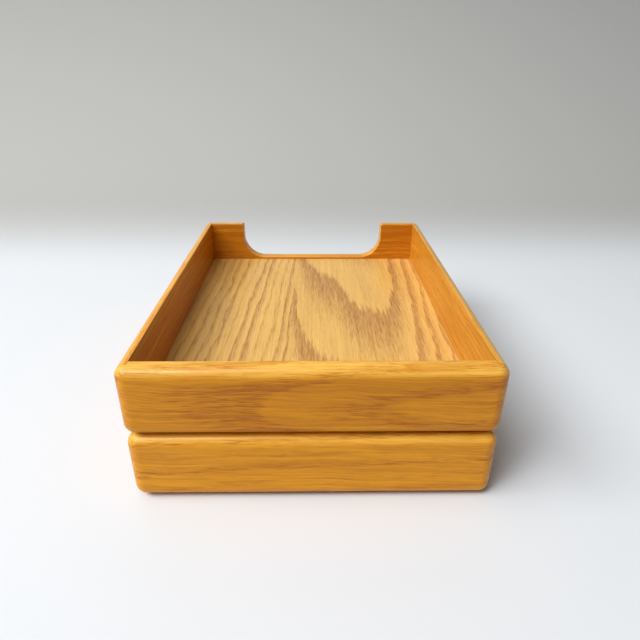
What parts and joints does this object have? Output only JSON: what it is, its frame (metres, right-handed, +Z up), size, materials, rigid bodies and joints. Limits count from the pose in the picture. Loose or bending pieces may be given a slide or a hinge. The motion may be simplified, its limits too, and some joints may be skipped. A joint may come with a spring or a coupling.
{
  "type": "document tray with box",
  "caption": "Oak desk tray for paper with rounded edges and a scooped back, standing on rubber bumpers on an open document box of the same plan size; the tray lifts off.",
  "frame": {"origin": "under the middle of the box, on the surface that its bumpers stand on", "axes": "+X to the right seen from the full-height front board, +Y from the front board to the scooped back board, +Z up"},
  "size_m": [0.2572, 0.338, 0.109],
  "materials": {
    "oak_boards": "satin varnish over honey-coloured oak, grain along each board",
    "oak_veneer": "satin varnish over flat-sawn oak veneer, grain from front to back",
    "rubber_bumpers": "matt"
  },
  "bodies": {
    "box": {"box_front": "oak_boards", "box_back": "oak_boards", "box_left_side": "oak_boards", "box_right_side": "oak_boards", "box_floor": "oak_veneer", "box_bumper_front_left": "rubber_bumpers", "box_bumper_front_right": "rubber_bumpers", "box_bumper_back_left": "rubber_bumpers", "box_bumper_back_right": "rubber_bumpers"},
    "tray": {"tray_front": "oak_boards", "tray_back": "oak_boards", "tray_left_side": "oak_boards", "tray_right_side": "oak_boards", "tray_floor": "oak_veneer", "tray_bumper_front_left": "rubber_bumpers", "tray_bumper_front_right": "rubber_bumpers", "tray_bumper_back_left": "rubber_bumpers", "tray_bumper_back_right": "rubber_bumpers"}
  },
  "joints": [
    {"name": "tray_lift", "type": "slide", "parent": "box", "child": "tray", "axis": [0, 0, 1], "range_m": [0, 0.12]}
  ]
}
